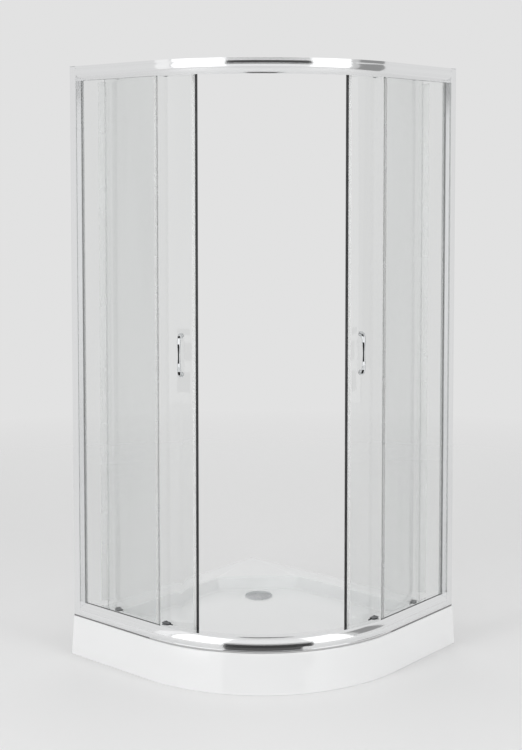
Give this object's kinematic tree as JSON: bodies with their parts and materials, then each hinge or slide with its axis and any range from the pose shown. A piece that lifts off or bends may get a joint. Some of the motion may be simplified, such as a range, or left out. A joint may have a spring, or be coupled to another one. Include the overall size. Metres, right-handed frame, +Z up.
{
  "type": "quadrant shower enclosure",
  "caption": "Quadrant shower enclosure: white low tray, bright curved rails, flat fixed panes and curved sliding glass doors on rollers, standing open.",
  "frame": {"origin": "middle of the tray's square footprint, on the floor", "axes": "+Z up; the room's walls are at -X and +Y and meet at the rear corner; the rounded front with the doorway faces +X and -Y, symmetric about the upright plane through the rear corner"},
  "size_m": [0.9, 0.9, 1.915],
  "materials": {
    "white_acrylic": "glossy sanitary acrylic",
    "base_board": "raw particle board",
    "zinc_steel": "zinc plated",
    "black_plastic": "moulded",
    "chrome": "chrome plated",
    "black_rubber": "extruded rubber",
    "white_plastic": "moulded",
    "bright_aluminium": "bright polished and anodised",
    "grey_plastic": "moulded",
    "dark_plastic": "moulded",
    "clear_glass": "clear toughened safety glass",
    "clear_vinyl": "clear soft vinyl",
    "bracket_steel": "satin stainless steel",
    "wheel_plastic": "acetal"
  },
  "bodies": {
    "root": {"shower_tray": "white_acrylic", "tray_base_board": "base_board", "foot_studs": "zinc_steel", "foot_pads": "black_plastic", "waste_flange": "chrome", "waste_gasket": "black_rubber", "waste_trap": "white_plastic", "bottom_rail": "bright_aluminium", "top_rail": "bright_aluminium", "bottom_rail_infill": "bright_aluminium", "top_rail_infill": "bright_aluminium", "door_stops": "black_rubber", "profile_caps": "grey_plastic", "rail_screws": "zinc_steel", "post_lock_screws": "zinc_steel", "left_wall_profile": "bright_aluminium", "left_side_post": "bright_aluminium", "left_glazing_gasket": "black_rubber", "left_fixed_glass": "clear_glass", "left_fixed_edge_seal": "clear_vinyl", "right_wall_profile": "bright_aluminium", "right_side_post": "bright_aluminium", "right_glazing_gasket": "black_rubber", "right_fixed_glass": "clear_glass", "right_fixed_edge_seal": "clear_vinyl"},
    "waste_cover": {"waste_cover": "chrome"},
    "left_door": {"left_door_glass": "clear_glass", "left_magnet_carrier": "clear_vinyl", "left_magnet_strip": "black_rubber", "left_trailing_seal": "clear_vinyl", "left_handle": "chrome", "left_handle_bolts": "chrome", "left_roller_bolts": "chrome", "left_top_brackets": "bracket_steel", "left_bottom_housings": "grey_plastic"},
    "left_release_rear": {"left_release_rear": "dark_plastic"},
    "left_top_wheel_rear": {"left_top_wheel_rear": "wheel_plastic"},
    "left_bottom_wheel_rear": {"left_bottom_wheel_rear": "wheel_plastic"},
    "left_release_front": {"left_release_front": "dark_plastic"},
    "left_top_wheel_front": {"left_top_wheel_front": "wheel_plastic"},
    "left_bottom_wheel_front": {"left_bottom_wheel_front": "wheel_plastic"},
    "right_door": {"right_door_glass": "clear_glass", "right_magnet_carrier": "clear_vinyl", "right_magnet_strip": "black_rubber", "right_trailing_seal": "clear_vinyl", "right_handle": "chrome", "right_handle_bolts": "chrome", "right_roller_bolts": "chrome", "right_top_brackets": "bracket_steel", "right_bottom_housings": "grey_plastic"},
    "right_release_rear": {"right_release_rear": "dark_plastic"},
    "right_top_wheel_rear": {"right_top_wheel_rear": "wheel_plastic"},
    "right_bottom_wheel_rear": {"right_bottom_wheel_rear": "wheel_plastic"},
    "right_release_front": {"right_release_front": "dark_plastic"},
    "right_top_wheel_front": {"right_top_wheel_front": "wheel_plastic"},
    "right_bottom_wheel_front": {"right_bottom_wheel_front": "wheel_plastic"}
  },
  "joints": [
    {"name": "waste_cover_lift", "type": "slide", "parent": "root", "child": "waste_cover", "axis": [0, 0, 1], "range_m": [0, 0.06]},
    {"name": "left_door_roll", "type": "hinge", "parent": "root", "child": "left_door", "pos_m": [-0.1709, 0.31675, 0], "axis": [0, 0, 1], "range_deg": [0, 19.8]},
    {"name": "left_release_rear_lift", "type": "slide", "parent": "left_door", "child": "left_release_rear", "axis": [0, 0, 1], "range_m": [0, 0.006], "stiffness_N_per_m": 300, "springref_m": -0.004},
    {"name": "left_top_wheel_rear_spin", "type": "hinge", "parent": "left_door", "child": "left_top_wheel_rear", "pos_m": [-0.28419, -0.4125, 1.89735], "axis": [0.2079, 0.9781, 0], "continuous": true},
    {"name": "left_bottom_wheel_rear_spin", "type": "hinge", "parent": "left_release_rear", "child": "left_bottom_wheel_rear", "pos_m": [-0.28419, -0.4125, 0.13615], "axis": [0.2079, 0.9781, 0], "continuous": true},
    {"name": "left_release_front_lift", "type": "slide", "parent": "left_door", "child": "left_release_front", "axis": [0, 0, 1], "range_m": [0, 0.006], "stiffness_N_per_m": 300, "springref_m": -0.004},
    {"name": "left_top_wheel_front_spin", "type": "hinge", "parent": "left_door", "child": "left_top_wheel_front", "pos_m": [-0.06584, -0.41136, 1.89735], "axis": [-0.2181, 0.9759, 0], "continuous": true},
    {"name": "left_bottom_wheel_front_spin", "type": "hinge", "parent": "left_release_front", "child": "left_bottom_wheel_front", "pos_m": [-0.06584, -0.41136, 0.13615], "axis": [-0.2181, 0.9759, 0], "continuous": true},
    {"name": "right_door_roll", "type": "hinge", "parent": "root", "child": "right_door", "pos_m": [-0.31675, 0.1709, 0], "axis": [0, 0, -1], "range_deg": [0, 19.8]},
    {"name": "right_release_rear_lift", "type": "slide", "parent": "right_door", "child": "right_release_rear", "axis": [0, 0, 1], "range_m": [0, 0.006], "stiffness_N_per_m": 300, "springref_m": -0.004},
    {"name": "right_top_wheel_rear_spin", "type": "hinge", "parent": "right_door", "child": "right_top_wheel_rear", "pos_m": [0.4125, 0.28419, 1.89735], "axis": [0.9781, 0.2079, 0], "continuous": true},
    {"name": "right_bottom_wheel_rear_spin", "type": "hinge", "parent": "right_release_rear", "child": "right_bottom_wheel_rear", "pos_m": [0.4125, 0.28419, 0.13615], "axis": [0.9781, 0.2079, 0], "continuous": true},
    {"name": "right_release_front_lift", "type": "slide", "parent": "right_door", "child": "right_release_front", "axis": [0, 0, 1], "range_m": [0, 0.006], "stiffness_N_per_m": 300, "springref_m": -0.004},
    {"name": "right_top_wheel_front_spin", "type": "hinge", "parent": "right_door", "child": "right_top_wheel_front", "pos_m": [0.41136, 0.06584, 1.89735], "axis": [0.9759, -0.2181, 0], "continuous": true},
    {"name": "right_bottom_wheel_front_spin", "type": "hinge", "parent": "right_release_front", "child": "right_bottom_wheel_front", "pos_m": [0.41136, 0.06584, 0.13615], "axis": [0.9759, -0.2181, 0], "continuous": true}
  ],
  "couplings": [
    {"joint": "left_top_wheel_rear_spin", "follows": "left_door_roll", "ratio": 81.999},
    {"joint": "left_bottom_wheel_rear_spin", "follows": "left_door_roll", "ratio": 81.999},
    {"joint": "left_top_wheel_front_spin", "follows": "left_door_roll", "ratio": 81.739},
    {"joint": "left_bottom_wheel_front_spin", "follows": "left_door_roll", "ratio": 81.739},
    {"joint": "right_top_wheel_rear_spin", "follows": "right_door_roll", "ratio": 81.999},
    {"joint": "right_bottom_wheel_rear_spin", "follows": "right_door_roll", "ratio": 81.999},
    {"joint": "right_top_wheel_front_spin", "follows": "right_door_roll", "ratio": 81.739},
    {"joint": "right_bottom_wheel_front_spin", "follows": "right_door_roll", "ratio": 81.739}
  ]
}
